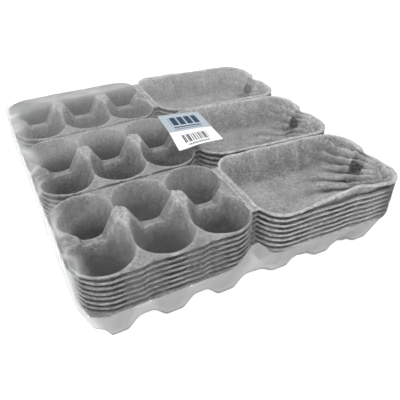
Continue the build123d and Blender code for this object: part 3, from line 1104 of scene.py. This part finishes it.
def mixed_shader(tree, factor, first, second):
    """Two shaders mixed by a socket or a number."""
    made = node(tree, "ShaderNodeMixShader")
    if isinstance(factor, float):
        made.inputs[0].default_value = factor
    else:
        tree.links.new(factor, made.inputs[0])
    tree.links.new(first, made.inputs[1])
    tree.links.new(second, made.inputs[2])
    return made.outputs[0]


def to_surface(tree, shader):
    """Send a shader to the material's output."""
    output = node(tree, "ShaderNodeOutputMaterial")
    tree.links.new(shader, output.inputs["Surface"])


PULP_COLOURS = ((0.38, (0.190, 0.190, 0.189)), (0.50, (0.375, 0.375, 0.373)), (0.62, (0.565, 0.565, 0.561)))
PULP_FLECKS = ((0.27, 1.25), (0.36, 1), (0.66, 1), (0.72, 0.6))
PULP_SHINE = 0.15
PULP_BUMP = 0.9
PULP_BUMP_HEIGHT = 0.0013


def pulp_material():
    """Grey recycled-paper pulp: mottled, flecked and fibrous, with painted shade low down and painted
    highlight on its ridges.
    """
    material, tree = new_material("pulp_grey")
    place = node(tree, "ShaderNodeTexCoord").outputs["Object"]
    mottle = noise_node(tree, place, scale=75, detail=3)
    clumps = noise_node(tree, place, scale=340, detail=4)
    specks = noise_node(tree, place, scale=620, detail=2)
    fibres = noise_node(tree, place, scale=300, detail=4, stretch=(1, 5, 2))
    crossed = noise_node(tree, place, scale=300, detail=4, stretch=(5, 1, 2))
    streaks = noise_node(tree, place, scale=330, detail=3, stretch=(1, 1, 0.09))
    layers = noise_node(tree, place, scale=420, detail=2, stretch=(0.12, 0.12, 1))
    mixture = [(mottle, 0.20), (clumps, 0.26), (fibres, 0.22), (streaks, 0.07), (specks, 0.25)]
    colour = ramp_node(tree, weighted_sum(tree, mixture), PULP_COLOURS)
    flecks = grey_ramp(tree, specks, PULP_FLECKS)
    lightness = weighted_sum(tree, [(attribute_node(tree, "tone"), 0.84), (flecks, 0.22)])
    coarse = [(fibres, 0.45), (crossed, 0.45), (clumps, 0.70)]
    fine = [(streaks, 0.20), (layers, 0.30), (specks, 0.40)]
    normal = bump_node(tree, weighted_sum(tree, coarse + fine), PULP_BUMP, PULP_BUMP_HEIGHT)
    shader = node(tree, "ShaderNodeBsdfPrincipled")
    shader.inputs["Specular IOR Level"].default_value = PULP_SHINE
    tree.links.new(scaled_colour(tree, colour, lightness), shader.inputs["Base Color"])
    tree.links.new(weighted_sum(tree, [(specks, 0.15), (clumps, 1.5)]), shader.inputs["Roughness"])
    tree.links.new(normal, shader.inputs["Normal"])
    to_surface(tree, shader.outputs["BSDF"])
    return material


FILM_BEND = 1.42
FILM_GLOSS = 0.35
HAZE_GLOSS = 1.2
FILM_GLOSS_ROUGHNESS = 0.18
CLOUDING = 0.5
EVEN_HAZE = 0.75
FILM_BUMP = 0.5
FILM_BUMP_HEIGHT = 0.002
MILK_COLOURS = ((0, (0.93, 0.94, 0.95)), (0.5, (0.50, 0.50, 0.50)), (1, (0.20, 0.20, 0.20)))
MILK_THROUGH = 0.45


def film_shine(tree, haze, place):
    """Clear film with a rippled gloss that grows where it is hazy."""
    ripple = noise_node(tree, place, scale=90, detail=3, stretch=(1, 1, 0.5))
    normal = bump_node(tree, ripple, FILM_BUMP, FILM_BUMP_HEIGHT)
    clear = node(tree, "ShaderNodeBsdfTransparent")
    gloss = node(tree, "ShaderNodeBsdfGlossy")
    gloss.inputs["Roughness"].default_value = FILM_GLOSS_ROUGHNESS
    tree.links.new(normal, gloss.inputs["Normal"])
    fresnel = node(tree, "ShaderNodeFresnel")
    fresnel.inputs["IOR"].default_value = FILM_BEND
    tree.links.new(normal, fresnel.inputs["Normal"])
    gain = math_node(tree, "MULTIPLY_ADD", haze, HAZE_GLOSS, FILM_GLOSS)
    factor = math_node(tree, "MULTIPLY", fresnel.outputs["Fac"], gain)
    return mixed_shader(tree, factor, clear.outputs[0], gloss.outputs[0])


def film_milk(tree):
    """Milky film, partly lit from behind, its white milk turned grey by the painted shade in the shade
    attribute.
    """
    colour = ramp_node(tree, attribute_node(tree, "shade"), MILK_COLOURS)
    front = node(tree, "ShaderNodeBsdfDiffuse")
    behind = node(tree, "ShaderNodeBsdfTranslucent")
    tree.links.new(colour, front.inputs["Color"])
    tree.links.new(colour, behind.inputs["Color"])
    return mixed_shader(tree, MILK_THROUGH, front.outputs[0], behind.outputs[0])


def film_material():
    """Clear glossy shrink film that turns milky where it is creased."""
    material, tree = new_material("shrink_film")
    place = node(tree, "ShaderNodeTexCoord").outputs["Object"]
    haze = attribute_node(tree, "tone")
    cloud = noise_node(tree, place, scale=55, detail=3, stretch=(1, 1, 0.4))
    factor = math_node(tree, "MULTIPLY", haze, math_node(tree, "MULTIPLY_ADD", cloud, CLOUDING, EVEN_HAZE))
    to_surface(tree, mixed_shader(tree, factor, film_shine(tree, haze, place), film_milk(tree)))
    return material


INK_ROUGHNESS = 0.5
INK_SHINE = 0.15
INK_GRAIN_SHADE = 0.93
INK_BUMP = 0.15
INK_BUMP_HEIGHT = 0.0002
INKS = (
    ("label_white", (0.80, 0.81, 0.82)),
    ("label_tint", (0.37, 0.42, 0.47)),
    ("label_navy", (0.018, 0.045, 0.085)),
    ("label_black", (0.015, 0.015, 0.018)),
)


def ink_material(name, colour):
    """Coated label paper in one ink, with a faint grain."""
    material, tree = new_material(name)
    place = node(tree, "ShaderNodeTexCoord").outputs["Object"]
    grain = noise_node(tree, place, scale=900, detail=2)
    darker = tuple(INK_GRAIN_SHADE * part for part in colour)
    shader = node(tree, "ShaderNodeBsdfPrincipled")
    shader.inputs["Roughness"].default_value = INK_ROUGHNESS
    shader.inputs["Specular IOR Level"].default_value = INK_SHINE
    tree.links.new(ramp_node(tree, grain, ((0.3, darker), (0.7, colour))), shader.inputs["Base Color"])
    tree.links.new(bump_node(tree, grain, INK_BUMP, INK_BUMP_HEIGHT), shader.inputs["Normal"])
    to_surface(tree, shader.outputs["BSDF"])
    return material


def floor_material():
    """The studio floor's matt white, lit from below so that it stays white under the pack."""
    material, tree = new_material("floor_white")
    shader = node(tree, "ShaderNodeBsdfPrincipled")
    shader.inputs["Base Color"].default_value = (0.9, 0.9, 0.9, 1)
    shader.inputs["Roughness"].default_value = 0.9
    shader.inputs["Emission Color"].default_value = (1, 1, 1, 1)
    shader.inputs["Emission Strength"].default_value = FLOOR_GLOW
    to_surface(tree, shader.outputs["BSDF"])
    return material


# ---- the pack


def body_name(kind, stack, level):
    """The CAD body that a carton's base or lid rides on."""
    if level < CARTONS:
        return "stacks"
    return f"top_{kind}_{stack}"


def build_carton(stack, level, step, pulp):
    """One carton: its base, its lid and the hinge strip between them."""
    y = (stack - (STACKS + 1) / 2) * STACK_PITCH
    seed = stack * 1000 + level * 20
    base = pulp_base(f"pulp_base_{stack}_{level}", level, y, step, seed, pulp)
    lid = pulp_lid(f"pulp_lid_{stack}_{level}", stack, level, y, step, seed + 7, pulp)
    strip = hinge_strip(f"hinge_strip_{stack}_{level}", level, y, seed + 13, pulp)
    base_body = body_name("base", stack, level)
    lid_body = body_name("lid", stack, level)
    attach(base, base_body)
    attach(lid, lid_body)
    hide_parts(f"stack{stack}_base_{level}")
    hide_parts(f"stack{stack}_lid_{level}")
    if base_body == lid_body:
        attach(strip, base_body)
    else:
        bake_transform(strip)


def build_stacks(pulp):
    """Every carton, with the finest mesh on the uppermost ones."""
    steps = {1: BOTTOM_STEP, CARTONS: TOP_STEP}
    for stack in range(1, STACKS + 1):
        for level in range(1, CARTONS + 1):
            build_carton(stack, level, steps.get(level, BURIED_STEP), pulp)


def build_wrap():
    """The film and the label, which move together."""
    film = film_mesh("shrink_film", film_material())
    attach(film, "wrap")
    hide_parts("wrap_film")
    label = label_piece("paper_label", [ink_material(name, colour) for name, colour in INKS])
    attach(label, "wrap")
    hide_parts("pack_label")


def area_light(name, place, target, size, power):
    """A rectangular soft light that faces a target."""
    data = bpy.data.lights.new(name, "AREA")
    data.shape = "RECTANGLE"
    data.size = size[0]
    data.size_y = size[1]
    data.energy = power
    lamp = add_object(name, data)
    lamp.location = place
    lamp.rotation_mode = "QUATERNION"
    lamp.rotation_quaternion = (Vector(target) - Vector(place)).to_track_quat("-Z", "Y")


def build_surround():
    """A pale grey surround, white at the horizon and a little brighter overhead."""
    world = bpy.data.worlds.new("surround")
    bpy.context.scene.world = world
    world.use_nodes = True
    tree = world.node_tree
    split = node(tree, "ShaderNodeSeparateXYZ")
    tree.links.new(node(tree, "ShaderNodeTexCoord").outputs["Generated"], split.inputs[0])
    glow = grey_ramp(tree, split.outputs["Z"], ((0, 1), (0.20, 1), (0.30, 0.56), (1, 0.70)))
    background = tree.nodes["Background"]
    tree.links.new(glow, background.inputs["Color"])
    background.inputs["Strength"].default_value = 1


def build_studio():
    """A pale floor, a soft surround and soft lights, the strongest from overhead."""
    half = FLOOR_HALF
    mesh = bpy.data.meshes.new("floor")
    corners = [(-half, -half, 0), (half, -half, 0), (half, half, 0), (-half, half, 0)]
    mesh.from_pydata(corners, [], [(0, 1, 2, 3)])
    mesh.materials.append(floor_material())
    add_object("floor", mesh)
    build_surround()
    area_light("overhead", place=(0, 0.1, 1.5), target=PACK_MIDDLE, size=(1.3, 1.3), power=15)
    area_light("front_soft", place=(-0.45, -1.05, 1.05), target=PACK_MIDDLE, size=(0.7, 0.7), power=3)
    area_light("left_strip", place=(-1.1, -0.2, 0.6), target=(-0.1, 0, 0.05), size=(0.15, 1.4), power=5)


def build_camera():
    """The camera at the photograph's viewing angle."""
    data = bpy.data.cameras.new("camera")
    data.lens = CAMERA_LENS
    data.sensor_width = CAMERA_SENSOR
    data.clip_start = CAMERA_NEAR
    camera = add_object("camera", data)
    turn = Matrix.Rotation(math.radians(-CAMERA_YAW), 4, "Z")
    tilt = Matrix.Rotation(math.radians(90 - CAMERA_PITCH), 4, "X")
    roll = Matrix.Rotation(math.radians(CAMERA_ROLL), 4, "Z")
    camera.matrix_world = Matrix.Translation(CAMERA_PLACE) @ turn @ tilt @ roll
    bpy.context.scene.camera = camera


build_stacks(pulp_material())
build_wrap()
build_studio()
build_camera()
bpy.context.scene.view_settings.view_transform = "Standard"
